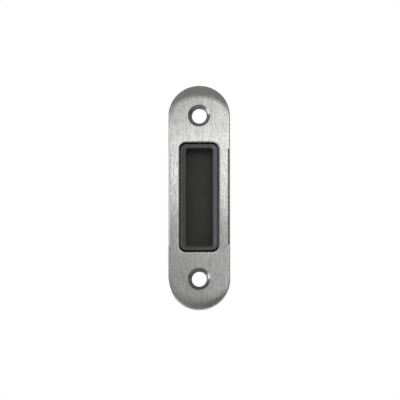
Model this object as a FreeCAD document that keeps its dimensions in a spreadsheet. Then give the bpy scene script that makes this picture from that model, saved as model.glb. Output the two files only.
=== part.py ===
import FreeCAD, Part
import math
import os
import Sketcher

# Door strike plate with round ends and a moulded dust box behind its window. Millimetres.
# The plate stands as it is fitted: its length runs along +Z and its width along X.
# Its back seats on the door frame in the plane Y = 0 and its face looks towards -Y.
# The origin lies on that back, midway between the two screw holes.

# Driving sizes: name, value, meaning
SIZES = [
    ("window_width", "14.0", "of the opening for the latch bolt"),
    ("window_length", "39.1", "of the opening for the latch bolt"),
    ("window_corner", "2.3", "radius in the corners of the window"),
    ("window_round", "0.6", "radius round the mouth of the window"),
    ("rail_width", "4.0", "of the plate on each side of the window"),
    ("window_to_hole", "9.85", "from each end of the window to the screw hole beyond it"),
    ("plate_thickness", "2.5", "from the seat to the face"),
    ("edge_round", "0.35", "radius round the rim of the face"),
    ("seat_break", "0.2", "broken edge round the seat"),
    ("crown_reach", "5.0", "how far in from each tip the face starts to fall"),
    ("crown_flare", "1.0", "how much wider than the end the curved line is where that fall starts"),
    ("crown_drop", "0.42", "how far the face has fallen at each tip"),
    ("hole_diameter", "5.3", "clear through for the screw"),
    ("countersink_width", "1.35", "of the cone round each hole, seen from the front"),
    ("countersink_angle", "90.0", "full angle of the cone, degrees"),
    ("lead_in_inset", "1.9", "from each end of the window to the end of the eased stretch beside it"),
    ("lead_in_width", "0.75", "of that stretch, across the face"),
    ("lead_in_depth", "0.7", "of that stretch, down the side"),
    ("lead_in_round", "2.0", "radius of its rounded section"),
    ("lead_in_runout", "0.4", "length in which it runs out at either end"),
    ("side_clearance", "0.3", "between the box and each long wall of the window"),
    ("end_clearance", "0.5", "between the box and each short wall of the window"),
    ("rim_recess", "0.35", "from the face of the plate down to the rim of the box"),
    ("rim_land", "0.6", "flat width of the rim before its bevel"),
    ("rim_round", "0.15", "radius round the outer edge of the rim"),
    ("bevel_side_width", "0.85", "of the bevel inside the rim, on the long sides"),
    ("bevel_end_width", "0.35", "of the bevel inside the rim, at the short ends"),
    ("bevel_depth", "0.45", "from the rim down to the throat of the box"),
    ("throat_corner", "1.3", "radius in the corners of the throat"),
    ("box_depth", "5.8", "from the seat of the plate to the floor of the pocket"),
    ("box_wall", "1.2", "of the pocket and its floor"),
    ("draft_angle", "6.0", "lean of the moulded walls, degrees"),
    ("floor_round", "0.4", "radius where the walls of the pocket meet its floor"),
    ("back_round", "1.2", "radius round the closed back of the box"),
    ("collar_lip", "1.5", "how far the collar reaches past the window"),
    ("collar_thickness", "1.2", "of the collar behind the plate"),
    ("collar_break", "0.2", "broken edge round the back of the collar"),
    ("rib_width", "1.2", "of each crush rib that grips the window"),
    ("rib_pitch", "20.0", "between the two ribs on each long side"),
    ("rib_setback", "0.7", "from the rim down to where the ribs begin"),
]

# How far a cutting sketch runs past the surface that it cuts, and how exactly an edge is matched
OVERRUN = 1.0
MATCH = 1e-4

document = FreeCAD.newDocument("door_strike_plate")
sheet = document.addObject("Spreadsheet::Sheet", "Sizes")
for row, (name, value, meaning) in enumerate(SIZES, start=1):
    sheet.set(f"A{row}", name)
    sheet.set(f"B{row}", value)
    sheet.set(f"C{row}", meaning)
    sheet.setAlias(f"B{row}", name)
document.recompute()


# Sizes worked out from the driving ones

def size(name):
    return f"<<Sizes>>.{name}"


LEAN = f"tan({size('draft_angle')})"

PLATE_WIDTH = f"({size('window_width')} + 2 * {size('rail_width')})"
END_CENTRE = f"({size('window_length')} / 2 + {size('window_to_hole')})"
TIP = f"({END_CENTRE} + {PLATE_WIDTH} / 2)"
CROWN_SWEEP = f"({PLATE_WIDTH} / 2 + {size('crown_flare')})"

NECK_WIDTH = f"({size('window_width')} - 2 * {size('side_clearance')})"
NECK_LENGTH = f"({size('window_length')} - 2 * {size('end_clearance')})"
NECK_CORNER = f"({size('window_corner')} - {size('side_clearance')})"
MOUTH_WIDTH = f"({NECK_WIDTH} - 2 * {size('rim_land')})"
MOUTH_LENGTH = f"({NECK_LENGTH} - 2 * {size('rim_land')})"
THROAT_WIDTH = f"({MOUTH_WIDTH} - 2 * {size('bevel_side_width')})"
THROAT_LENGTH = f"({MOUTH_LENGTH} - 2 * {size('bevel_end_width')})"

RIM_HEIGHT = f"({size('plate_thickness')} - {size('rim_recess')})"
THROAT_HEIGHT = f"({RIM_HEIGHT} - {size('bevel_depth')})"
BOX_BACK = f"({size('box_depth')} + {size('box_wall')})"


def value_of(expression):
    """Number that an expression gives with the sizes in the sheet."""
    return float(sheet.evalExpression(expression))


def pocket_at(depth):
    """Width, length and corner radius of the drafted pocket at a depth behind the seat."""
    lost = f"({THROAT_HEIGHT} + {depth}) * {LEAN}"
    corner = f"({size('throat_corner')} - {lost})"
    return f"({THROAT_WIDTH} - 2 * {lost})", f"({THROAT_LENGTH} - 2 * {lost})", corner


# Sketches

def origin_plane(body, role):
    for plane in body.Origin.OriginFeatures:
        if plane.Role == role:
            return plane
    raise ValueError(f"{body.Name} has no {role}")


def new_sketch(body, name, role, offset=None):
    """Sketch on one of the body's own origin planes, or at an offset along its normal."""
    sketch = body.newObject("Sketcher::SketchObject", name)
    sketch.AttachmentSupport = [(origin_plane(body, role), "")]
    sketch.MapMode = "FlatFace"
    if offset:
        sketch.setExpression("AttachmentOffset.Base.z", offset)
    return sketch


def point(x, y):
    return FreeCAD.Vector(x, y, 0)


def line(sketch, start, end):
    return sketch.addGeometry(Part.LineSegment(point(*start), point(*end)), False)


def arc(sketch, centre, radius, start_angle, end_angle):
    circle = Part.Circle(point(*centre), FreeCAD.Vector(0, 0, 1), radius)
    return sketch.addGeometry(Part.ArcOfCircle(circle, start_angle, end_angle), False)


def dimension(sketch, name, expression, kind, *geometry):
    """Named dimension that follows an expression."""
    index = sketch.addConstraint(Sketcher.Constraint(kind, *geometry, value_of(expression)))
    sketch.renameConstraint(index, name)
    sketch.setExpression(f"Constraints.{name}", expression)


def rounded_rectangle(sketch, width, length, corner):
    """Rectangle with round corners about the sketch's origin, from three expressions."""
    half_width = value_of(width) / 2
    half_length = value_of(length) / 2
    radius = value_of(corner)
    inner_x = half_width - radius
    inner_y = half_length - radius
    bottom = line(sketch, (-inner_x, -half_length), (inner_x, -half_length))
    right = line(sketch, (half_width, -inner_y), (half_width, inner_y))
    top = line(sketch, (inner_x, half_length), (-inner_x, half_length))
    left = line(sketch, (-half_width, inner_y), (-half_width, -inner_y))
    quarter = math.pi / 2
    corners = [
        arc(sketch, (inner_x, -inner_y), radius, -quarter, 0),
        arc(sketch, (inner_x, inner_y), radius, 0, quarter),
        arc(sketch, (-inner_x, inner_y), radius, quarter, 2 * quarter),
        arc(sketch, (-inner_x, -inner_y), radius, 2 * quarter, 3 * quarter),
    ]
    sides = [bottom, right, top, left]
    for index, corner_arc in enumerate(corners):
        following = sides[(index + 1) % 4]
        sketch.addConstraint(Sketcher.Constraint("Tangent", sides[index], 2, corner_arc, 1))
        sketch.addConstraint(Sketcher.Constraint("Tangent", corner_arc, 2, following, 1))
    for side in (bottom, top):
        sketch.addConstraint(Sketcher.Constraint("Horizontal", side))
    for side in (left, right):
        sketch.addConstraint(Sketcher.Constraint("Vertical", side))
    for corner_arc in corners[1:]:
        sketch.addConstraint(Sketcher.Constraint("Equal", corners[0], corner_arc))
    sketch.addConstraint(Sketcher.Constraint("Symmetric", corners[0], 3, corners[2], 3, -1, 1))
    dimension(sketch, "width", width, "DistanceX", left, 2, right, 1)
    dimension(sketch, "length", length, "DistanceY", bottom, 1, top, 2)
    dimension(sketch, "corner", corner, "Radius", corners[0])


def rectangle(sketch, width, length, middle_y=None):
    """Plain rectangle, centred on the vertical axis and at a height above the origin."""
    half_width = value_of(width) / 2
    half_length = value_of(length) / 2
    height = value_of(middle_y) if middle_y else 0.0
    low = height - half_length
    high = height + half_length
    bottom = line(sketch, (-half_width, low), (half_width, low))
    right = line(sketch, (half_width, low), (half_width, high))
    top = line(sketch, (half_width, high), (-half_width, high))
    left = line(sketch, (-half_width, high), (-half_width, low))
    sides = [bottom, right, top, left]
    for index, side in enumerate(sides):
        sketch.addConstraint(Sketcher.Constraint("Coincident", side, 2, sides[(index + 1) % 4], 1))
    sketch.addConstraint(Sketcher.Constraint("Horizontal", top))
    for side in (left, right):
        sketch.addConstraint(Sketcher.Constraint("Vertical", side))
    sketch.addConstraint(Sketcher.Constraint("Symmetric", bottom, 1, bottom, 2, -2))
    dimension(sketch, f"width_{bottom}", width, "DistanceX", bottom, 1, bottom, 2)
    dimension(sketch, f"length_{bottom}", length, "DistanceY", right, 1, right, 2)
    floor = f"{middle_y or 0} - {length} / 2"
    if value_of(floor) < 0:
        dimension(sketch, f"below_{bottom}", f"-({floor})", "DistanceY", bottom, 1, -1, 1)
    else:
        dimension(sketch, f"above_{bottom}", floor, "DistanceY", -1, 1, bottom, 1)


# Features

def feature(body, kind, name, profile=None, **settings):
    made = body.newObject(f"PartDesign::{kind}", name)
    if profile:
        made.Profile = profile
    for key, setting in settings.items():
        setattr(made, key, setting)
    return made


def mirrored(body, name, original, role):
    """Copy of a feature across an origin plane."""
    copy = body.newObject("PartDesign::Mirrored", name)
    copy.Originals = [original]
    copy.MirrorPlane = (origin_plane(body, role), [""])
    body.Tip = copy
    return copy


def dressed(body, kind, name, base, wanted, amount_property, amount):
    """Fillet or chamfer on the edges of a feature that a test picks out."""
    document.recompute()
    names = [f"Edge{index}" for index, edge in enumerate(base.Shape.Edges, start=1) if wanted(edge)]
    if not names:
        raise ValueError(f"{name} finds no edge")
    dressing = body.newObject(f"PartDesign::{kind}", name)
    dressing.Base = (base, names)
    dressing.setExpression(amount_property, amount)
    return dressing


def drafted(body, name, base, wanted):
    """Walls of a feature leaned inwards towards the back, true to size in the plane Y = 0."""
    document.recompute()
    names = [f"Face{index}" for index, face in enumerate(base.Shape.Faces, start=1) if wanted(face)]
    if not names:
        raise ValueError(f"{name} finds no wall")
    leaned = body.newObject("PartDesign::Draft", name)
    document.recompute()
    leaned.Base = (base, names)
    leaned.NeutralPlane = (origin_plane(body, "XZ_Plane"), [""])
    leaned.Reversed = True
    leaned.setExpression("Angle", size("draft_angle"))
    return leaned


def upright_inside(face, width, length):
    """Whether a wall runs straight along Y, inside or on a rectangle about the origin."""
    box = face.BoundBox
    slack_x = value_of(width) / 2 + MATCH
    slack_z = value_of(length) / 2 + MATCH
    inside = box.XMin > -slack_x and box.XMax < slack_x and box.ZMin > -slack_z and box.ZMax < slack_z
    return inside and box.YLength > MATCH


def middle_of(edge):
    return edge.valueAt((edge.FirstParameter + edge.LastParameter) / 2)


def lies_at(edge, height):
    """Whether an edge lies wholly at one height along Y."""
    box = edge.BoundBox
    return abs(box.YMin - height) < MATCH and abs(box.YMax - height) < MATCH


def on_outline(position):
    """Whether a point stands on the side wall of the plate."""
    past_centre = max(abs(position.z) - value_of(END_CENTRE), 0.0)
    radius = value_of(PLATE_WIDTH) / 2
    return abs(math.hypot(position.x, past_centre) - radius) < MATCH


# Strike plate: one flat bar with round ends, pressed and drilled

def plate_blank(body):
    """Bar with two full-round ends, its seat in the plane Y = 0."""
    outline = new_sketch(body, "outline", "XZ_Plane")
    radius = value_of(PLATE_WIDTH) / 2
    centre = value_of(END_CENTRE)
    right = line(outline, (radius, -centre), (radius, centre))
    top = arc(outline, (0, centre), radius, 0, math.pi)
    left = line(outline, (-radius, centre), (-radius, -centre))
    bottom = arc(outline, (0, -centre), radius, math.pi, 2 * math.pi)
    loop = [right, top, left, bottom]
    for index, element in enumerate(loop):
        following = loop[(index + 1) % 4]
        outline.addConstraint(Sketcher.Constraint("Tangent", element, 2, following, 1))
    outline.addConstraint(Sketcher.Constraint("Vertical", right))
    outline.addConstraint(Sketcher.Constraint("Vertical", left))
    outline.addConstraint(Sketcher.Constraint("Symmetric", top, 3, bottom, 3, -1, 1))
    dimension(outline, "end_radius", f"{PLATE_WIDTH} / 2", "Radius", top)
    dimension(outline, "centres", f"2 * {END_CENTRE}", "DistanceY", bottom, 3, top, 3)
    blank = feature(body, "Pad", "blank", outline)
    blank.setExpression("Length", size("plate_thickness"))
    return dressed(body, "Chamfer", "seat_edge", blank,
                   lambda edge: lies_at(edge, 0.0), "Size", size("seat_break"))


def crown_ends(body):
    """Fall of the face at both tips: an arc, tangent to the face, turned about an axis further in."""
    profile = new_sketch(body, "crown_profile", "YZ_Plane")
    face = -value_of(size("plate_thickness"))
    start = f"{TIP} - {size('crown_reach')}"
    start_z = value_of(start)
    crown_radius = (f"({size('crown_reach')} ^ 2 + {size('crown_drop')} ^ 2)"
                    f" / (2 * {size('crown_drop')})")
    radius = value_of(crown_radius)
    reach = value_of(size("crown_reach")) + OVERRUN
    axis_z = start_z - value_of(CROWN_SWEEP)
    turn = math.asin(reach / radius)
    fall = radius * (1 - math.cos(turn))
    curve = arc(profile, (face + radius, start_z), radius, math.pi - turn, math.pi)
    top = line(profile, (face + fall, start_z + reach), (face - OVERRUN, start_z + reach))
    front = line(profile, (face - OVERRUN, start_z + reach), (face - OVERRUN, start_z))
    bottom = line(profile, (face - OVERRUN, start_z), (face, start_z))
    axis = line(profile, (face - OVERRUN, axis_z), (face, axis_z))
    profile.toggleConstruction(axis)
    loop = [(curve, 1, top, 1), (top, 2, front, 1), (front, 2, bottom, 1), (bottom, 2, curve, 2)]
    for joint in loop:
        profile.addConstraint(Sketcher.Constraint("Coincident", *joint))
    for level in (top, bottom, axis):
        profile.addConstraint(Sketcher.Constraint("Horizontal", level))
    profile.addConstraint(Sketcher.Constraint("Vertical", front))
    profile.addConstraint(Sketcher.Constraint("Vertical", front, 1, axis, 1))
    profile.addConstraint(Sketcher.Constraint("Vertical", bottom, 2, axis, 2))
    profile.addConstraint(Sketcher.Constraint("Horizontal", curve, 2, curve, 3))
    dimension(profile, "crown_radius", crown_radius, "Radius", curve)
    dimension(profile, "face", size("plate_thickness"), "DistanceX", bottom, 2, -1, 1)
    dimension(profile, "overrun", f"{OVERRUN}", "DistanceX", bottom, 1, bottom, 2)
    dimension(profile, "start", start, "DistanceY", -1, 1, bottom, 2)
    dimension(profile, "reach", f"{size('crown_reach')} + {OVERRUN}", "DistanceY", bottom, 1, top, 2)
    dimension(profile, "sweep", CROWN_SWEEP, "DistanceY", axis, 2, bottom, 2)
    crown = feature(body, "Groove", "crown", profile, ReferenceAxis=(profile, ["Axis0"]),
                    Angle=180.0, Midplane=True)
    document.recompute()
    both = mirrored(body, "crown_both_ends", crown, "XY_Plane")
    return dressed(body, "Fillet", "face_edge", both,
                   lambda edge: edge.BoundBox.YMax < -value_of(size("seat_break")) - MATCH
                   and on_outline(middle_of(edge)),
                   "Radius", size("edge_round"))


def lead_in_section(body, name, height, shifted):
    """Corner piece taken off a long side: a convex arc closed outside the plate."""
    section = new_sketch(body, name, "XY_Plane", height)
    slide = 1 if shifted else 0
    width = size("lead_in_width")
    depth = size("lead_in_depth")
    start_x = f"({PLATE_WIDTH} / 2 - {width} + {slide} * {width})"
    start_y = f"({size('plate_thickness')} + {slide} * {depth})"
    x = value_of(start_x)
    y = -value_of(start_y)
    across = value_of(width)
    down = value_of(depth)
    radius = value_of(size("lead_in_round"))
    chord = math.hypot(across, down)
    rise = math.sqrt(radius ** 2 - (chord / 2) ** 2)
    centre = (x + across / 2 - rise * down / chord, y + down / 2 + rise * across / chord)
    first = math.atan2(y - centre[1], x - centre[0])
    last = math.atan2(y + down - centre[1], x + across - centre[0])
    curve = arc(section, centre, radius, first, last)
    far_x = x + across + OVERRUN
    near_y = y - OVERRUN
    back = line(section, (x + across, y + down), (far_x, y + down))
    side = line(section, (far_x, y + down), (far_x, near_y))
    front = line(section, (far_x, near_y), (x, near_y))
    inner = line(section, (x, near_y), (x, y))
    loop = [(curve, 2, back, 1), (back, 2, side, 1), (side, 2, front, 1), (front, 2, inner, 1),
            (inner, 2, curve, 1)]
    for joint in loop:
        section.addConstraint(Sketcher.Constraint("Coincident", *joint))
    for level in (back, front):
        section.addConstraint(Sketcher.Constraint("Horizontal", level))
    for upright in (side, inner):
        section.addConstraint(Sketcher.Constraint("Vertical", upright))
    dimension(section, "start_x", start_x, "DistanceX", -1, 1, curve, 1)
    dimension(section, "start_y", start_y, "DistanceY", curve, 1, -1, 1)
    dimension(section, "across", width, "DistanceX", curve, 1, curve, 2)
    dimension(section, "down", depth, "DistanceY", curve, 1, curve, 2)
    dimension(section, "round", size("lead_in_round"), "Radius", curve)
    dimension(section, "past_side", f"{OVERRUN}", "DistanceX", back, 1, back, 2)
    dimension(section, "past_face", f"{OVERRUN}", "DistanceY", inner, 1, inner, 2)
    return section


def ease_long_sides(body):
    """Lead-in on both long sides, sliding out of the metal at its two ends."""
    half = f"({size('window_length')} / 2 - {size('lead_in_inset')})"
    runout = size("lead_in_runout")
    sections = [
        lead_in_section(body, "lead_in_below", f"-({half} + {runout})", True),
        lead_in_section(body, "lead_in_low", f"-({half} - {runout})", False),
        lead_in_section(body, "lead_in_high", f"{half} - {runout}", False),
        lead_in_section(body, "lead_in_above", f"{half} + {runout}", True),
    ]
    document.recompute()
    eased = feature(body, "SubtractiveLoft", "lead_in", sections[0], Sections=sections[1:], Ruled=True)
    document.recompute()
    return mirrored(body, "lead_in_both_sides", eased, "YZ_Plane")


def drill_screw_holes(body):
    """Two countersunk screw holes, drilled from the face at the centres of the round ends."""
    centres = new_sketch(body, "hole_centres", "XZ_Plane", size("plate_thickness"))
    centre = value_of(END_CENTRE)
    radius = value_of(size("hole_diameter")) / 2
    circles = []
    for height in (-centre, centre):
        circle = Part.Circle(point(0, height), FreeCAD.Vector(0, 0, 1), radius)
        circles.append(centres.addGeometry(circle, False))
    centres.addConstraint(Sketcher.Constraint("Equal", *circles))
    centres.addConstraint(Sketcher.Constraint("Symmetric", circles[0], 3, circles[1], 3, -1, 1))
    centres.addConstraint(Sketcher.Constraint("PointOnObject", circles[1], 3, -2))
    dimension(centres, "pitch", f"2 * {END_CENTRE}", "DistanceY", circles[0], 3, circles[1], 3)
    dimension(centres, "bore", size("hole_diameter"), "Diameter", circles[0])
    document.recompute()
    holes = feature(body, "Hole", "screw_holes", centres)
    document.recompute()
    holes.ThreadType = "None"
    holes.DepthType = "ThroughAll"
    holes.HoleCutType = "Countersink"
    holes.HoleCutCustomValues = True
    holes.setExpression("Diameter", size("hole_diameter"))
    holes.setExpression("HoleCutDiameter", f"{size('hole_diameter')} + 2 * {size('countersink_width')}")
    holes.setExpression("HoleCutCountersinkAngle", size("countersink_angle"))
    document.recompute()
    return holes


def cut_window(body):
    """Opening for the latch bolt, right through, with a rounded mouth."""
    outline = new_sketch(body, "window_outline", "XZ_Plane")
    rounded_rectangle(outline, size("window_width"), size("window_length"), size("window_corner"))
    window = feature(body, "Pocket", "window", outline, Type="ThroughAll", Midplane=True)
    face = -value_of(size("plate_thickness"))
    half_width = value_of(size("window_width")) / 2
    half_length = value_of(size("window_length")) / 2

    def on_mouth(edge):
        middle = middle_of(edge)
        inside = abs(middle.x) < half_width + MATCH and abs(middle.z) < half_length + MATCH
        return lies_at(edge, face) and inside

    return dressed(body, "Fillet", "window_mouth", window, on_mouth, "Radius", size("window_round"))


def make_strike_plate():
    body = document.addObject("PartDesign::Body", "strike_plate")
    body.Label = "strike_plate"
    plate_blank(body)
    crown_ends(body)
    ease_long_sides(body)
    drill_screw_holes(body)
    cut_window(body)
    return body


# Dust box: one moulding, pushed into the window from behind until its collar meets the plate

def box_section(body, name, offset, width, length, corner):
    section = new_sketch(body, name, "XZ_Plane", offset)
    rounded_rectangle(section, width, length, corner)
    return section


def mould_block(body):
    """Block behind the plate with drafted sides and a rounded back."""
    wall = size("box_wall")
    width, length, corner = pocket_at(0)
    width = f"{width} + 2 * {wall}"
    length = f"{length} + 2 * {wall}"
    outline = box_section(body, "block_outline", None, width, length, f"{corner} + {wall}")
    block = feature(body, "Pad", "block", outline, Reversed=True)
    block.setExpression("Length", BOX_BACK)
    leaned = drafted(body, "block_sides", block, lambda face: upright_inside(face, width, length))
    back = value_of(BOX_BACK)
    back_corner = f"({pocket_at(BOX_BACK)[2]} + {wall})"
    return dressed(body, "Fillet", "back_edge", leaned, lambda edge: lies_at(edge, back),
                   "Radius", f"min({size('back_round')}; 0.9 * {back_corner})")


def add_collar_and_neck(body):
    """Collar behind the plate, and the neck that stands in the window."""
    lip = size("collar_lip")
    outline = box_section(body, "collar_outline", None, f"{size('window_width')} + 2 * {lip}",
                          f"{size('window_length')} + 2 * {lip}", f"{size('window_corner')} + {lip}")
    collar = feature(body, "Pad", "collar", outline, Reversed=True)
    collar.setExpression("Length", size("collar_thickness"))
    height = value_of(size("collar_thickness"))
    window_side = value_of(size("window_width")) / 2
    window_end = value_of(size("window_length")) / 2

    def round_collar(edge):
        middle = middle_of(edge)
        return lies_at(edge, height) and (abs(middle.x) > window_side or abs(middle.z) > window_end)

    dressed(body, "Chamfer", "collar_edge", collar, round_collar, "Size", size("collar_break"))
    outline = box_section(body, "neck_outline", None, NECK_WIDTH, NECK_LENGTH, NECK_CORNER)
    neck = feature(body, "Pad", "neck", outline)
    neck.setExpression("Length", RIM_HEIGHT)
    rim = -value_of(RIM_HEIGHT)
    return dressed(body, "Fillet", "rim_edge", neck, lambda edge: lies_at(edge, rim),
                   "Radius", size("rim_round"))


def add_crush_ribs(body):
    """Bars across the neck whose ends touch the walls of the window, cored out by the pocket."""
    height = f"{RIM_HEIGHT} - {size('rib_setback')}"
    side_bars = new_sketch(body, "side_rib_outline", "XZ_Plane")
    for direction in ("", "-"):
        middle = f"({direction}{size('rib_pitch')} / 2)"
        rectangle(side_bars, size("window_width"), size("rib_width"), middle)
    side_ribs = feature(body, "Pad", "side_ribs", side_bars)
    side_ribs.setExpression("Length", height)
    end_bar = new_sketch(body, "end_rib_outline", "XZ_Plane")
    rectangle(end_bar, size("rib_width"), size("window_length"))
    end_ribs = feature(body, "Pad", "end_ribs", end_bar)
    end_ribs.setExpression("Length", height)


def core_pocket(body):
    """Pocket for the latch bolt: drafted walls, a rounded floor and a bevelled mouth."""
    width, length, corner = pocket_at(0)
    outline = box_section(body, "pocket_outline", RIM_HEIGHT, width, length, corner)
    pocket = feature(body, "Pocket", "pocket", outline)
    pocket.setExpression("Length", f"{RIM_HEIGHT} + {size('box_depth')}")
    leaned = drafted(body, "pocket_walls", pocket, lambda face: upright_inside(face, width, length))
    floor = value_of(size("box_depth"))
    floor_corner = pocket_at(size("box_depth"))[2]
    dressed(body, "Fillet", "floor_edge", leaned, lambda edge: lies_at(edge, floor),
            "Radius", f"min({size('floor_round')}; 0.9 * {floor_corner})")
    mouth = box_section(body, "mouth_outline", RIM_HEIGHT, MOUTH_WIDTH, MOUTH_LENGTH,
                        f"{NECK_CORNER} - {size('rim_land')}")
    throat = box_section(body, "throat_outline", THROAT_HEIGHT, THROAT_WIDTH, THROAT_LENGTH,
                         size("throat_corner"))
    document.recompute()
    return feature(body, "SubtractiveLoft", "bevel", mouth, Sections=[throat], Ruled=True)


def make_dust_box():
    body = document.addObject("PartDesign::Body", "dust_box")
    body.Label = "dust_box"
    mould_block(body)
    add_collar_and_neck(body)
    add_crush_ribs(body)
    core_pocket(body)
    return body


# Build, check and write

pieces = [make_strike_plate(), make_dust_box()]
document.recompute()

for item in document.Objects:
    if "Invalid" in item.State or "Error" in item.State:
        raise RuntimeError(f"{item.Name} failed: {item.State}")
for piece in pieces:
    if piece.Shape.isNull() or not piece.Shape.isValid():
        raise RuntimeError(f"{piece.Label} has no valid shape")
    if len(piece.Shape.Solids) != 1:
        raise RuntimeError(f"{piece.Label} has {len(piece.Shape.Solids)} solids")

os.makedirs("parts", exist_ok=True)
for piece in pieces:
    piece.Shape.exportStep(f"parts/{piece.Label}.step")
    print(piece.Label, "volume", round(piece.Shape.Volume, 3), "mm3")
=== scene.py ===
"""Looks and studio for a door strike plate: brushed metal, a moulded dust box and a white room."""

import math

import bpy
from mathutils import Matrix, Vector


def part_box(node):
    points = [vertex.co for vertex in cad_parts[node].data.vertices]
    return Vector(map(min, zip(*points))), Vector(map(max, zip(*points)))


bl_info = {
    "name": "Door Strike Plate",
    "version": (1, 0, 0),
    "blender": (4, 5, 0),
    "location": "View3D > Sidebar > Strike Plate",
    "description": "Finishes a strike plate and its dust box and sets up the studio round them",
    "category": "Object",
}

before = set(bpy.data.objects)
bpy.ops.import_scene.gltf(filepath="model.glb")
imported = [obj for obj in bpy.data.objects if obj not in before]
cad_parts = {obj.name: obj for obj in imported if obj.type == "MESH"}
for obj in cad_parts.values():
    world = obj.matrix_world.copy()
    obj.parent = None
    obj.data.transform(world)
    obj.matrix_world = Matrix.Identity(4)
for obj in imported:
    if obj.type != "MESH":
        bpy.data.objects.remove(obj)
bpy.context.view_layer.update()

MM = 0.001
PER_MM = 1 / MM

# Where the plate, its holes, its window and the rim of the box are, in millimetres. The centre of
# each round end is also the centre of the screw hole in it.
PLATE_LOW, PLATE_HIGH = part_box("strike_plate")
END_RADIUS = PLATE_HIGH.x * PER_MM
END_CENTRE = PLATE_HIGH.z * PER_MM - END_RADIUS
FACE = PLATE_LOW.y * PER_MM
BORE_RADIUS = 2.65
CONE_RADIUS = 4.0
CONE_BOTTOM = FACE + CONE_RADIUS - BORE_RADIUS
WINDOW_X = 7.0
WINDOW_Z = 19.55
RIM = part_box("dust_box")[0].y * PER_MM
THROAT = RIM + 0.45

# Where a finish, a painted highlight or a painted shade starts and where it is full, in
# millimetres past the place that it belongs to
CONE_EDGE = (0.06, -0.06)
BORE_MOUTH = (0.2, 0.1)
EDGE_HIGHLIGHT = (-0.75, -0.1)
BLANKED_EDGE = (-0.6, -0.2)
WORN_EDGE = (-2.2, 0.4)
WORN_ARC = (-4.0, 4.0)
WINDOW_LIP = (0.5, 0.2)
RIM_STEP = (0.15, -0.05)

# The same by the Y of the surface's normal, without its sign for the cut sides and the lip
CUT_SIDE = (0.4, 0.15)
ROUNDED_LIP = (0.98, 0.8)
BRUSHED_FRONT = (-0.55, -0.9)

# How far from the window the face rolls in, and how high up the plate grinding has left it flat,
# in millimetres
ROLL_REACH = 3.2
DISH_MIDDLE = 4.0

# How much lighter and how much rougher the metal is in a part than on the rest of the face. The
# lighter outer edge is a painted highlight; the darker walls of the window and holes and the
# darker window lip are painted shade
LIGHTER = {"painted_edge_highlight": 0.06, "blanked": -0.4, "shaded_cut_walls": -0.3, "shaded_rough_lip": -0.45}
ROUGHER = {"blanked": 0.15, "shaded_rough_lip": 0.25}

# Layers of the brushed grain: scale against a fleck, detail, roughness and share of the tone
GRAIN_SCALE = 0.62
GRAIN_LAYERS = {
    "flecks": ((1.0, 1.0, 1.0), 2.0, 0.55, 0.8),
    "lines": ((1.1, 1.1, 0.25), 1.0, 0.5, 0.35),
    "broad": ((0.35, 0.35, 0.22), 1.0, 0.5, 0.2),
    "hair": ((3.4, 3.4, 0.35), 2.0, 0.6, 0.35),
}
HAIR_HEIGHT = 0.6
FLECK_HEIGHT = 0.4

# How much of the grain is left away from the brushed face, in its tone and in its height
TONE_OFF_FACE = 0.25
HEIGHT_OFF_FACE = 0.2

# Marks of handling, with their size in millimetres
PLATE_MARKS = {"Size": 14.0, "Amount": 0.12}
BOX_MARKS = {"Size": 6.0, "Amount": 0.3}

# Detail and roughness of the noise in the marks and in the moulded skin
MARK_NOISE = (3.0, 0.55)
SKIN_NOISE = (3.0, 0.6)

# What the marks, the brushed grain and the moulded skin add to the tone and to the roughness
PLATE_MARK_LIGHTER = 0.25
PLATE_MARK_ROUGHER = 0.12
GRAIN_ROUGHER = -0.10
BOX_MARK_LIGHTER = 0.5
BOX_MARK_ROUGHER = 0.2
SKIN_LIGHTER = 0.9
SKIN_ROUGHER = 0.15

WHITE = (1.0, 1.0, 1.0, 1.0)


# Properties that a user would change

class StrikePlateFinish(bpy.types.PropertyGroup):
    """Brushed metal of the plate."""

    metal: bpy.props.FloatVectorProperty(
        name="Metal", description="Colour of the brushed face", subtype="COLOR",
        size=3, min=0.0, max=1.0, default=(0.61, 0.61, 0.595))
    # The countersinks' darker colour paints the shade in them
    shaded_cone_metal: bpy.props.FloatVectorProperty(
        name="Countersinks", description="Colour of the turned cones round the screw holes",
        subtype="COLOR", size=3, min=0.0, max=1.0, default=(0.34, 0.34, 0.34))
    roughness: bpy.props.FloatProperty(
        name="Roughness", description="Roughness of the brushed face", subtype="FACTOR",
        min=0.0, max=1.0, default=0.25)
    cone_roughness: bpy.props.FloatProperty(
        name="Countersink Roughness", description="Roughness of the turned cones",
        subtype="FACTOR", min=0.0, max=1.0, default=0.36)
    anisotropy: bpy.props.FloatProperty(
        name="Anisotropy", description="How far the brushing stretches a highlight across itself",
        subtype="FACTOR", min=0.0, max=1.0, default=0.95)
    streak_width: bpy.props.FloatProperty(
        name="Streak Width", description="Width of a brushed fleck", subtype="DISTANCE",
        unit="LENGTH", min=0.00005, max=0.002, default=0.0002)
    streak_length: bpy.props.FloatProperty(
        name="Streak Length", description="Length of a brushed fleck", subtype="DISTANCE",
        unit="LENGTH", min=0.0002, max=0.02, default=0.0006)
    streak_tone: bpy.props.FloatProperty(
        name="Streak Tone", description="How much the flecks lighten and darken the metal",
        subtype="FACTOR", min=0.0, max=1.0, default=0.58)
    streak_depth: bpy.props.FloatProperty(
        name="Streak Depth", description="Depth of the brushed scratches", subtype="DISTANCE",
        unit="LENGTH", min=0.0, max=0.0001, default=0.000002)
    window_roll: bpy.props.FloatProperty(
        name="Window Roll", description="How far the face rolls in at the window",
        subtype="DISTANCE", unit="LENGTH", min=0.0, max=0.001, precision=5, default=0.00006)
    end_wear: bpy.props.FloatProperty(
        name="End Wear", description="How far polishing has taken the round ends down",
        subtype="DISTANCE", unit="LENGTH", min=0.0, max=0.001, precision=5, default=0.00007)
    dish: bpy.props.FloatProperty(
        name="Dish", description="Tilt that grinding leaves on the face, per square millimetre",
        min=-0.001, max=0.001, precision=6, default=0.00001)


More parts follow.
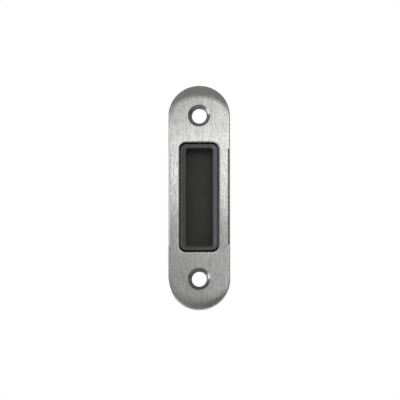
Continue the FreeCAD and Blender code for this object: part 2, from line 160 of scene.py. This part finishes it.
class DustBoxFinish(bpy.types.PropertyGroup):
    """Moulded plastic of the dust box."""

    plastic: bpy.props.FloatVectorProperty(
        name="Plastic", description="Colour of the moulded plastic", subtype="COLOR",
        size=3, min=0.0, max=1.0, default=(0.051, 0.050, 0.047))
    # Painted light: the rim is lighter than the plastic of the pocket, whose darker colour paints
    # its shade
    lit_rim_plastic: bpy.props.FloatVectorProperty(
        name="Rim", description="Colour of the rim, which is smoother than the pocket",
        subtype="COLOR", size=3, min=0.0, max=1.0, default=(0.115, 0.116, 0.118))
    roughness: bpy.props.FloatProperty(
        name="Roughness", description="Roughness of the moulded skin", subtype="FACTOR",
        min=0.0, max=1.0, default=0.45)
    texture_size: bpy.props.FloatProperty(
        name="Texture Size", description="Size of the grain that the mould leaves",
        subtype="DISTANCE", unit="LENGTH", min=0.00005, max=0.002, default=0.0005)
    texture_depth: bpy.props.FloatProperty(
        name="Texture Depth", description="Depth of that grain", subtype="DISTANCE",
        unit="LENGTH", min=0.0, max=0.0001, default=0.000006)


class StrikePlateStudio(bpy.types.PropertyGroup):
    """Camera, lamps, floor and the room round the object."""

    azimuth: bpy.props.FloatProperty(
        name="Azimuth", description="How far the camera stands to the right of the face",
        subtype="ANGLE", unit="ROTATION", default=math.radians(3.4))
    elevation: bpy.props.FloatProperty(
        name="Elevation", description="How far the camera stands above the object",
        subtype="ANGLE", unit="ROTATION", default=math.radians(-8.0))
    distance: bpy.props.FloatProperty(
        name="Distance", description="From the camera to the object", subtype="DISTANCE",
        unit="LENGTH", min=0.2, max=5.0, default=1.0)
    view_width: bpy.props.FloatProperty(
        name="View Width", description="Width that the camera takes in at the object",
        subtype="DISTANCE", unit="LENGTH", min=0.02, max=1.0, default=0.1426)
    aim: bpy.props.FloatVectorProperty(
        name="Aim", description="Point that the camera looks at", subtype="XYZ",
        unit="LENGTH", size=3, default=(0.00035, -0.0025, -0.00116))
    room: bpy.props.FloatProperty(
        name="Room", description="How bright the unlit room is at its brighter, upper left end",
        min=0.0, max=2.0, default=0.3)
    corner: bpy.props.FloatProperty(
        name="Dark Corner", description="How bright the unlit room is at its lower right end",
        min=0.0, max=2.0, default=0.04)
    front: bpy.props.FloatProperty(
        name="Front Light", description="Radiance of the softbox in front, at its middle",
        min=0.0, max=20.0, default=1.5)
    side: bpy.props.FloatProperty(
        name="Side Light", description="Radiance of the cool softbox on the left",
        min=0.0, max=20.0, default=1.2)
    glint: bpy.props.FloatProperty(
        name="Glint", description="Radiance of the lamp that glints in the countersinks",
        min=0.0, max=40.0, default=11.0)
    fill: bpy.props.FloatProperty(
        name="Fill Light", description="Radiance of the softbox low on the left in front",
        min=0.0, max=20.0, default=3.0)
    overhead: bpy.props.FloatProperty(
        name="Overhead", description="Radiance of the softbox above and behind the object",
        min=0.0, max=20.0, default=2.4)
    floor_height: bpy.props.FloatProperty(
        name="Floor Height", description="Height of the floor under the object's middle",
        subtype="DISTANCE", unit="LENGTH", default=-0.15)


# Node helpers

class Wiring:
    """Adds nodes to one tree and joins them."""

    def __init__(self, tree):
        self.tree = tree

    def feed(self, socket, source):
        """Joins a socket to another, or sets its value."""
        if isinstance(source, bpy.types.NodeSocket):
            self.tree.links.new(source, socket)
        else:
            socket.default_value = source

    def node(self, kind, inputs=None, **settings):
        """New node, with its settings made and its inputs fed."""
        made = self.tree.nodes.new(kind)
        for key, setting in settings.items():
            setattr(made, key, setting)
        for key, source in (inputs or {}).items():
            self.feed(made.inputs[key], source)
        return made

    def math(self, operation, *sources, clamp=False):
        made = self.node("ShaderNodeMath", operation=operation, use_clamp=clamp)
        for index, source in enumerate(sources):
            self.feed(made.inputs[index], source)
        return made.outputs[0]

    def vector(self, operation, *sources):
        made = self.node("ShaderNodeVectorMath", operation=operation)
        for index, source in enumerate(sources):
            self.feed(made.inputs[index], source)
        return made.outputs[0]

    def split(self, source):
        return self.node("ShaderNodeSeparateXYZ", {0: source}).outputs

    def ramp(self, source, low, high, to_low=0.0, to_high=1.0):
        """Smooth step from one value to another between two limits."""
        made = self.node("ShaderNodeMapRange", interpolation_type="SMOOTHSTEP")
        for key, value in enumerate((source, low, high, to_low, to_high)):
            self.feed(made.inputs[key], value)
        return made.outputs[0]

    def ramp_past(self, source, place, limits):
        """Smooth step between two limits that are given past a place."""
        return self.ramp(source, place + limits[0], place + limits[1])

    def distance(self, first, second):
        """Distance that two steps at right angles cover."""
        return self.math("SQRT", self.math(
            "MULTIPLY_ADD", first, first, self.math("MULTIPLY", second, second)))

    def noise(self, vector, scale, detail=2.0, roughness=0.5):
        made = self.node("ShaderNodeTexNoise", {
            "Vector": vector, "Scale": scale, "Detail": detail, "Roughness": roughness})
        return made.outputs["Fac"]

    def swing(self, source):
        """Noise between 0 and 1, brought to swing by a half to either side of nought."""
        return self.math("SUBTRACT", source, 0.5)

    def scale(self, source, factor):
        """Colour or place, times a number."""
        made = self.node("ShaderNodeVectorMath", {0: source}, operation="SCALE")
        self.feed(made.inputs["Scale"], factor)
        return made.outputs[0]

    def mix(self, factor, first, second):
        """Colour between two others."""
        made = self.node("ShaderNodeMix", data_type="RGBA")
        self.feed(made.inputs[0], factor)
        self.feed(made.inputs[6], first)
        self.feed(made.inputs[7], second)
        return made.outputs[2]

    def blend(self, factor, first, second):
        """Number between two others."""
        made = self.node("ShaderNodeMix", data_type="FLOAT")
        self.feed(made.inputs[0], factor)
        self.feed(made.inputs[2], first)
        self.feed(made.inputs[3], second)
        return made.outputs[0]


def shader_group(name, inputs, outputs):
    """Empty shader node group with its sockets, and the wiring to fill it."""
    tree = bpy.data.node_groups.new(name, "ShaderNodeTree")
    for label, kind, default in inputs:
        socket = tree.interface.new_socket(name=label, in_out="INPUT", socket_type=kind)
        if default is not None:
            socket.default_value = default
    for label in outputs:
        tree.interface.new_socket(name=label, in_out="OUTPUT", socket_type="NodeSocketFloat")
    wiring = Wiring(tree)
    entry = wiring.node("NodeGroupInput").outputs
    leave = wiring.node("NodeGroupOutput").inputs
    return tree, wiring, entry, leave


def new_material(name):
    """Material with a Principled shader on its output, and the wiring to fill it."""
    material = bpy.data.materials.new(name)
    material.use_nodes = True
    tree = material.node_tree
    tree.nodes.clear()
    wiring = Wiring(tree)
    surface = wiring.node("ShaderNodeBsdfPrincipled")
    output = wiring.node("ShaderNodeOutputMaterial")
    tree.links.new(surface.outputs[0], output.inputs["Surface"])
    return material, wiring, surface.inputs


def place_group(wiring, tree, **sources):
    """Node group in a tree, with its inputs fed by name."""
    return wiring.node("ShaderNodeGroup", sources, node_tree=tree).outputs


def place_in_mm(wiring):
    """Place on the piece, in millimetres."""
    return wiring.vector("MULTIPLY", wiring.node("ShaderNodeTexCoord").outputs["Object"],
                         (PER_MM, PER_MM, PER_MM))


FLOAT = "NodeSocketFloat"
VECTOR = "NodeSocketVector"


def brushed_grain_group():
    """Flecks and scratches that run along Z, from a place in millimetres."""
    tree, wiring, entry, leave = shader_group(
        "Brushed Grain",
        [("Place", VECTOR, None), ("Width", FLOAT, 0.4), ("Length", FLOAT, 1.8)],
        ["Tone", "Height"])
    across = wiring.math("DIVIDE", 1.0, entry["Width"])
    along = wiring.math("DIVIDE", 1.0, entry["Length"])
    stretch = wiring.node("ShaderNodeCombineXYZ", {0: across, 1: across, 2: along}).outputs[0]
    place = wiring.vector("MULTIPLY", entry["Place"], stretch)
    tone = 0.5
    layers = {}
    for name, (against_fleck, detail, roughness, share) in GRAIN_LAYERS.items():
        layers[name] = wiring.noise(wiring.vector("MULTIPLY", place, against_fleck), GRAIN_SCALE,
                                    detail, roughness)
        tone = wiring.math("MULTIPLY_ADD", wiring.swing(layers[name]), share, tone)
    wiring.feed(leave["Tone"], tone)
    height = wiring.math("MULTIPLY_ADD", layers["hair"], HAIR_HEIGHT,
                         wiring.math("MULTIPLY", layers["flecks"], FLECK_HEIGHT))
    wiring.feed(leave["Height"], height)
    return tree


def handling_group():
    """Faint unevenness left by handling, from a place in millimetres."""
    tree, wiring, entry, leave = shader_group(
        "Handling", [("Place", VECTOR, None), ("Size", FLOAT, 9.0), ("Amount", FLOAT, 0.2)],
        ["Shade"])
    scale = wiring.math("DIVIDE", 1.0, entry["Size"])
    cloud = wiring.noise(wiring.scale(entry["Place"], scale), 1.0, *MARK_NOISE)
    shade = wiring.math("MULTIPLY", wiring.swing(cloud), entry["Amount"])
    wiring.feed(leave["Shade"], wiring.math("MULTIPLY", shade, 2.0))
    return tree


def plate_material(finish, grain, handling):
    """Brushed metal with flecks, turned cones, dull blanked outer edges and a face that isn't
    quite flat, with a painted highlight along the outer edge and painted shade in the
    countersinks, on the walls of the window and the holes and on the window's lip.
    """
    material, wiring, surface = new_material("brushed_plate")
    place = place_in_mm(wiring)
    x, y, z = wiring.split(place)
    along = wiring.math("ABSOLUTE", z)
    past_centre = wiring.math("SUBTRACT", along, END_CENTRE)
    from_hole = wiring.distance(past_centre, x)
    from_spine = wiring.distance(wiring.math("MAXIMUM", past_centre, 0.0), x)
    aside = wiring.math("SUBTRACT", wiring.math("ABSOLUTE", x), WINDOW_X)
    above = wiring.math("SUBTRACT", along, WINDOW_Z)
    from_window = wiring.distance(wiring.math("MAXIMUM", aside, 0.0),
                                  wiring.math("MAXIMUM", above, 0.0))
    normal_y = wiring.split(wiring.node("ShaderNodeNewGeometry").outputs["Normal"])[1]
    square_on = wiring.math("ABSOLUTE", normal_y)

    in_cone = wiring.math("MULTIPLY", wiring.ramp_past(from_hole, CONE_RADIUS, CONE_EDGE),
                          wiring.ramp_past(y, CONE_BOTTOM, BORE_MOUTH))
    cut = wiring.ramp(square_on, *CUT_SIDE)
    blanked = wiring.math("MULTIPLY", cut,
                          wiring.ramp_past(from_spine, END_RADIUS, BLANKED_EDGE))
    parts = {
        # Painted highlight: the metal is lighter along the plate's outer edge
        "painted_edge_highlight": wiring.ramp_past(from_spine, END_RADIUS, EDGE_HIGHLIGHT),
        "blanked": blanked,
        # Painted shade: the walls of the window and of the screw holes are darker
        "shaded_cut_walls": wiring.math("SUBTRACT", cut, blanked),
        # Painted shade on the rounded lip of the window; its extra roughness is real
        "shaded_rough_lip": wiring.math("MULTIPLY", wiring.ramp(square_on, *ROUNDED_LIP),
                           wiring.ramp(from_window, *WINDOW_LIP)),
    }
    brushed = wiring.math("MULTIPLY", wiring.ramp(normal_y, *BRUSHED_FRONT),
                          wiring.math("SUBTRACT", 1.0, in_cone))

    streaks = place_group(wiring, grain, Place=place, Width=finish.streak_width * PER_MM,
                          Length=finish.streak_length * PER_MM)
    smudge = place_group(wiring, handling, Place=place, **PLATE_MARKS)["Shade"]
    swing = wiring.math("MULTIPLY", wiring.swing(streaks["Tone"]),
                        wiring.blend(brushed, TONE_OFF_FACE, 1.0))

    lighter = wiring.math("MULTIPLY_ADD", swing, finish.streak_tone * 2.0, 1.0)
    lighter = wiring.math("MULTIPLY_ADD", smudge, PLATE_MARK_LIGHTER, lighter)
    for part, amount in LIGHTER.items():
        lighter = wiring.math("MULTIPLY_ADD", parts[part], amount, lighter)
    # Painted shade: the countersinks take a darker metal than the face
    metal = wiring.mix(in_cone, (*finish.metal, 1.0), (*finish.shaded_cone_metal, 1.0))
    wiring.feed(surface["Base Color"], wiring.scale(metal, lighter))

    rough = wiring.blend(in_cone, finish.roughness, finish.cone_roughness)
    for part, amount in ROUGHER.items():
        rough = wiring.math("MULTIPLY_ADD", parts[part], amount, rough)
    rough = wiring.math("MULTIPLY_ADD", swing, GRAIN_ROUGHER, rough)
    rough = wiring.math("MULTIPLY_ADD", smudge, PLATE_MARK_ROUGHER, rough, clamp=True)
    wiring.feed(surface["Roughness"], rough)
    surface["Metallic"].default_value = 1.0
    surface["Anisotropic"].default_value = finish.anisotropy
    tangent = wiring.node("ShaderNodeTangent", direction_type="RADIAL", axis="Z")
    wiring.feed(surface["Tangent"], tangent.outputs[0])

    # Grinding has left the face slightly uneven: towards the ends, its left side rises and its
    # right side falls away
    from_flat = wiring.math("SUBTRACT", z, DISH_MIDDLE)
    dish = wiring.math("MULTIPLY", wiring.math("MULTIPLY", from_flat, from_flat),
                       wiring.math("MULTIPLY", x, -finish.dish / 2))
    # Polishing has taken a little off round both ends
    worn = wiring.math("MULTIPLY", wiring.ramp_past(from_spine, END_RADIUS, WORN_EDGE),
                       wiring.ramp(past_centre, *WORN_ARC))
    relief = wiring.math("MULTIPLY_ADD", worn, -finish.end_wear * PER_MM, dish)
    # The face rolls in a little towards the window
    nearby = wiring.math("MULTIPLY_ADD", from_window, -1 / ROLL_REACH, 1.0, clamp=True)
    relief = wiring.math("MULTIPLY_ADD", wiring.math("MULTIPLY", nearby, nearby),
                         -finish.window_roll * PER_MM, relief)
    scratches = wiring.math("MULTIPLY", streaks["Height"],
                            wiring.blend(brushed, HEIGHT_OFF_FACE, 1.0))
    relief = wiring.math("MULTIPLY_ADD", scratches, finish.streak_depth * PER_MM, relief)
    bump = wiring.node("ShaderNodeBump", {"Height": relief, "Distance": MM, "Strength": 1.0})
    wiring.feed(surface["Normal"], bump.outputs[0])
    return material


def plastic_material(finish, handling):
    """Moulded plastic with a fine grain, and a rim painted lighter than the rest, which paints
    light on the rim and shade in the pocket.
    """
    material, wiring, surface = new_material("moulded_plastic")
    place = place_in_mm(wiring)
    skin = wiring.noise(place, 1 / (finish.texture_size * PER_MM), *SKIN_NOISE)
    smudge = place_group(wiring, handling, Place=place, **BOX_MARKS)["Shade"]
    # Painted light and shade: the front of the box takes the lighter rim colour, the pocket and
    # the rest the darker one
    lit_rim = wiring.ramp_past(wiring.split(place)[1], THROAT, RIM_STEP)

    lighter = wiring.math("MULTIPLY_ADD", smudge, BOX_MARK_LIGHTER, 1.0)
    lighter = wiring.math("MULTIPLY_ADD", wiring.swing(skin), SKIN_LIGHTER, lighter)
    base = wiring.mix(lit_rim, (*finish.plastic, 1.0), (*finish.lit_rim_plastic, 1.0))
    wiring.feed(surface["Base Color"], wiring.scale(base, lighter))

    rough = wiring.math("MULTIPLY_ADD", smudge, BOX_MARK_ROUGHER, finish.roughness)
    rough = wiring.math("MULTIPLY_ADD", wiring.swing(skin), SKIN_ROUGHER, rough)
    wiring.feed(surface["Roughness"], rough)
    bump = wiring.node("ShaderNodeBump", {
        "Height": skin, "Distance": finish.texture_depth, "Strength": 1.0})
    wiring.feed(surface["Normal"], bump.outputs[0])
    return material


def dress(node, material):
    """Puts one material on every slot of a CAD node."""
    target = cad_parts[node]
    if not target.material_slots:
        target.data.materials.append(material)
    for slot in target.material_slots:
        slot.material = material


def shared_group(name, build):
    """Node group of a name, built when it is first asked for."""
    return bpy.data.node_groups.get(name) or build()


# Studio

# The softbox in front: its distance, its right end, and the bottom, top and left end of each of
# its bands with the band's share of the radiance
FRONT_DISTANCE = 0.15
FRONT_RIGHT = 0.11
FRONT_BANDS = (
    (0.064, 0.074, -0.030, 0.32),
    (0.050, 0.064, 0.000, 1.18),
    (0.022, 0.050, -0.030, 0.94),
    (0.013, 0.022, -0.015, 0.80),
    (-0.010, 0.013, 0.010, 0.68),
    (-0.028, -0.010, 0.010, 0.55),
    (-0.046, -0.028, 0.010, 0.28),
)

# The other softboxes: centre, the point that they face, width and height
MIDDLE = (0.0, 0.0, 0.0)
LEFT_BOX = ((-0.45, -0.035, 0.04), (0.0, -0.035, 0.04), 0.18, 0.18)
GLINT_BOX = ((-0.423, -0.075, -0.13), MIDDLE, 0.12, 0.26)
FILL_BOX = ((-0.235, -0.336, -0.287), MIDDLE, 0.30, 0.15)
OVERHEAD_BOX = ((0.0, 0.7, 0.9), MIDDLE, 1.2, 0.6)
PLAIN = (1.0, 1.0, 1.0)
COOL = (0.80, 0.87, 1.0)
FAINTLY_COOL = (0.86, 0.91, 1.0)

# The room goes by direction: by Y it turns white behind the object, and by the weights of up and
# right its dim front goes from dark at the lower right to bright at the upper left
BEHIND = (0.15, 0.45)
TOWARDS_UP = 0.8
TOWARDS_RIGHT = -0.6
DARK_TO_BRIGHT = (-0.9, 0.5)

# The floor, which is whole inside the smaller radius, fades out towards the larger one and is
# very slightly mottled
FLOOR_RADIUS = 0.4
FLOOR_WHOLE = 0.06
FLOOR_SIDES = 96
FLOOR_MOTTLE = 14.0
FLOOR_SPREAD = (0.3, 0.7)
FLOOR_TONES = (0.86, 0.89)
FLOOR_ROUGHNESS = 0.9


def softbox(name, stand, radiance, colour=PLAIN):
    """Rectangular lamp that faces a point, with its radiance given."""
    centre, target, width, height = stand
    lamp = bpy.data.lights.new(name, "AREA")
    lamp.shape = "RECTANGLE"
    lamp.size = width
    lamp.size_y = height
    lamp.energy = radiance * math.pi * width * height
    lamp.color = colour
    holder = bpy.data.objects.new(name, lamp)
    holder.location = centre
    holder.rotation_euler = (Vector(target) - Vector(centre)).to_track_quat("-Z", "Y").to_euler()
    holder.visible_camera = False
    bpy.context.scene.collection.objects.link(holder)


def room_world(brighter, darker):
    """Room that is white to the eye and behind the object, and dim where the camera stands."""
    world = bpy.data.worlds.new("studio_room")
    world.use_nodes = True
    tree = world.node_tree
    tree.nodes.clear()
    wiring = Wiring(tree)
    direction = wiring.split(wiring.node("ShaderNodeTexCoord").outputs["Generated"])
    behind = wiring.ramp(direction[1], *BEHIND)
    upper_left = wiring.math("MULTIPLY_ADD", direction[2], TOWARDS_UP,
                             wiring.math("MULTIPLY", direction[0], TOWARDS_RIGHT))
    level = wiring.ramp(upper_left, *DARK_TO_BRIGHT, darker, brighter)
    path = wiring.node("ShaderNodeLightPath").outputs
    mirrored = wiring.math("MAXIMUM", path["Is Glossy Ray"], path["Is Transmission Ray"])
    white = wiring.math("MAXIMUM", path["Is Camera Ray"],
                        wiring.math("MULTIPLY", mirrored, behind))
    dim = wiring.node("ShaderNodeBackground", {"Color": WHITE, "Strength": level})
    bright = wiring.node("ShaderNodeBackground", {"Color": WHITE, "Strength": 1.0})
    mix = wiring.node("ShaderNodeMixShader", {0: white, 1: dim.outputs[0], 2: bright.outputs[0]})
    output = wiring.node("ShaderNodeOutputWorld")
    tree.links.new(mix.outputs[0], output.inputs["Surface"])
    bpy.context.scene.world = world


def lay_floor(height):
    """Round pale floor below the object that fades into the room, named as part of the studio."""
    turns = [2 * math.pi * side / FLOOR_SIDES for side in range(FLOOR_SIDES)]
    ring = [(FLOOR_RADIUS * math.cos(turn), FLOOR_RADIUS * math.sin(turn), height)
            for turn in turns]
    mesh = bpy.data.meshes.new("studio_floor")
    mesh.from_pydata(ring, [], [list(range(FLOOR_SIDES))])
    floor = bpy.data.objects.new("studio_floor", mesh)
    bpy.context.scene.collection.objects.link(floor)
    material, wiring, surface = new_material("pale_floor")
    place = wiring.node("ShaderNodeTexCoord").outputs["Object"]
    tone = wiring.ramp(wiring.noise(place, FLOOR_MOTTLE), *FLOOR_SPREAD, *FLOOR_TONES)
    wiring.feed(surface["Base Color"], wiring.node(
        "ShaderNodeCombineXYZ", {0: tone, 1: tone, 2: tone}).outputs[0])
    surface["Roughness"].default_value = FLOOR_ROUGHNESS
    x, y, _ = wiring.split(place)
    wiring.feed(surface["Alpha"], wiring.ramp(wiring.distance(x, y), FLOOR_RADIUS, FLOOR_WHOLE))
    mesh.materials.append(material)


def place_camera(studio):
    """Camera that looks at the aim from the distance and the angles of the studio."""
    back = Vector((math.sin(studio.azimuth) * math.cos(studio.elevation),
                   -math.cos(studio.azimuth) * math.cos(studio.elevation),
                   math.sin(studio.elevation)))
    lens = bpy.data.cameras.new("photo_camera")
    lens.sensor_width = 36.0
    lens.lens = lens.sensor_width * studio.distance / studio.view_width
    lens.clip_start = 0.01
    lens.clip_end = 50.0
    camera = bpy.data.objects.new("photo_camera", lens)
    camera.location = Vector(studio.aim) + back * studio.distance
    camera.rotation_euler = (-back).to_track_quat("-Z", "Y").to_euler()
    bpy.context.scene.collection.objects.link(camera)
    bpy.context.scene.camera = camera


class STRIKE_OT_finish_plate(bpy.types.Operator):
    """Give the plate its brushed metal"""

    bl_idname = "strike.finish_plate"
    bl_label = "Finish Strike Plate"

    def execute(self, context):
        grain = shared_group("Brushed Grain", brushed_grain_group)
        handling = shared_group("Handling", handling_group)
        dress("strike_plate", plate_material(context.scene.strike_finish, grain, handling))
        return {"FINISHED"}


class STRIKE_OT_finish_box(bpy.types.Operator):
    """Give the dust box its moulded plastic"""

    bl_idname = "strike.finish_box"
    bl_label = "Finish Dust Box"

    def execute(self, context):
        handling = shared_group("Handling", handling_group)
        dress("dust_box", plastic_material(context.scene.strike_box, handling))
        return {"FINISHED"}


class STRIKE_OT_set_studio(bpy.types.Operator):
    """Set up the camera, lamps, floor and room"""

    bl_idname = "strike.set_studio"
    bl_label = "Set Studio"

    def execute(self, context):
        studio = context.scene.strike_studio
        for low, high, left, share in FRONT_BANDS:
            across = (left + FRONT_RIGHT) / 2
            up = (low + high) / 2
            band = ((across, -FRONT_DISTANCE, up), (across, 0.0, up),
                    FRONT_RIGHT - left, high - low)
            softbox("front", band, studio.front * share)
        softbox("left_cool", LEFT_BOX, studio.side, COOL)
        softbox("glint", GLINT_BOX, studio.glint, FAINTLY_COOL)
        softbox("fill", FILL_BOX, studio.fill)
        softbox("overhead", OVERHEAD_BOX, studio.overhead)
        room_world(studio.room, studio.corner)
        lay_floor(studio.floor_height)
        place_camera(studio)
        context.scene.view_settings.view_transform = "Standard"
        return {"FINISHED"}


class STRIKE_PT_sidebar(bpy.types.Panel):
    """Values of the plate, the box and the studio, each with the operator that uses them"""

    bl_idname = "STRIKE_PT_sidebar"
    bl_label = "Strike Plate"
    bl_space_type = "VIEW_3D"
    bl_region_type = "UI"
    bl_category = "Strike Plate"

    def draw(self, context):
        layout = self.layout
        sections = (
            (context.scene.strike_finish, STRIKE_OT_finish_plate),
            (context.scene.strike_box, STRIKE_OT_finish_box),
            (context.scene.strike_studio, STRIKE_OT_set_studio),
        )
        for group, operator in sections:
            box = layout.box()
            for name in group.__annotations__:
                box.prop(group, name)
            box.operator(operator.bl_idname)


CLASSES = (
    StrikePlateFinish,
    DustBoxFinish,
    StrikePlateStudio,
    STRIKE_OT_finish_plate,
    STRIKE_OT_finish_box,
    STRIKE_OT_set_studio,
    STRIKE_PT_sidebar,
)


def register():
    for cls in CLASSES:
        bpy.utils.register_class(cls)
    bpy.types.Scene.strike_finish = bpy.props.PointerProperty(type=StrikePlateFinish)
    bpy.types.Scene.strike_box = bpy.props.PointerProperty(type=DustBoxFinish)
    bpy.types.Scene.strike_studio = bpy.props.PointerProperty(type=StrikePlateStudio)


def unregister():
    del bpy.types.Scene.strike_studio
    del bpy.types.Scene.strike_box
    del bpy.types.Scene.strike_finish
    for cls in reversed(CLASSES):
        bpy.utils.unregister_class(cls)


def main():
    register()
    bpy.ops.strike.finish_plate()
    bpy.ops.strike.finish_box()
    bpy.ops.strike.set_studio()


if __name__ == "__main__":
    main()
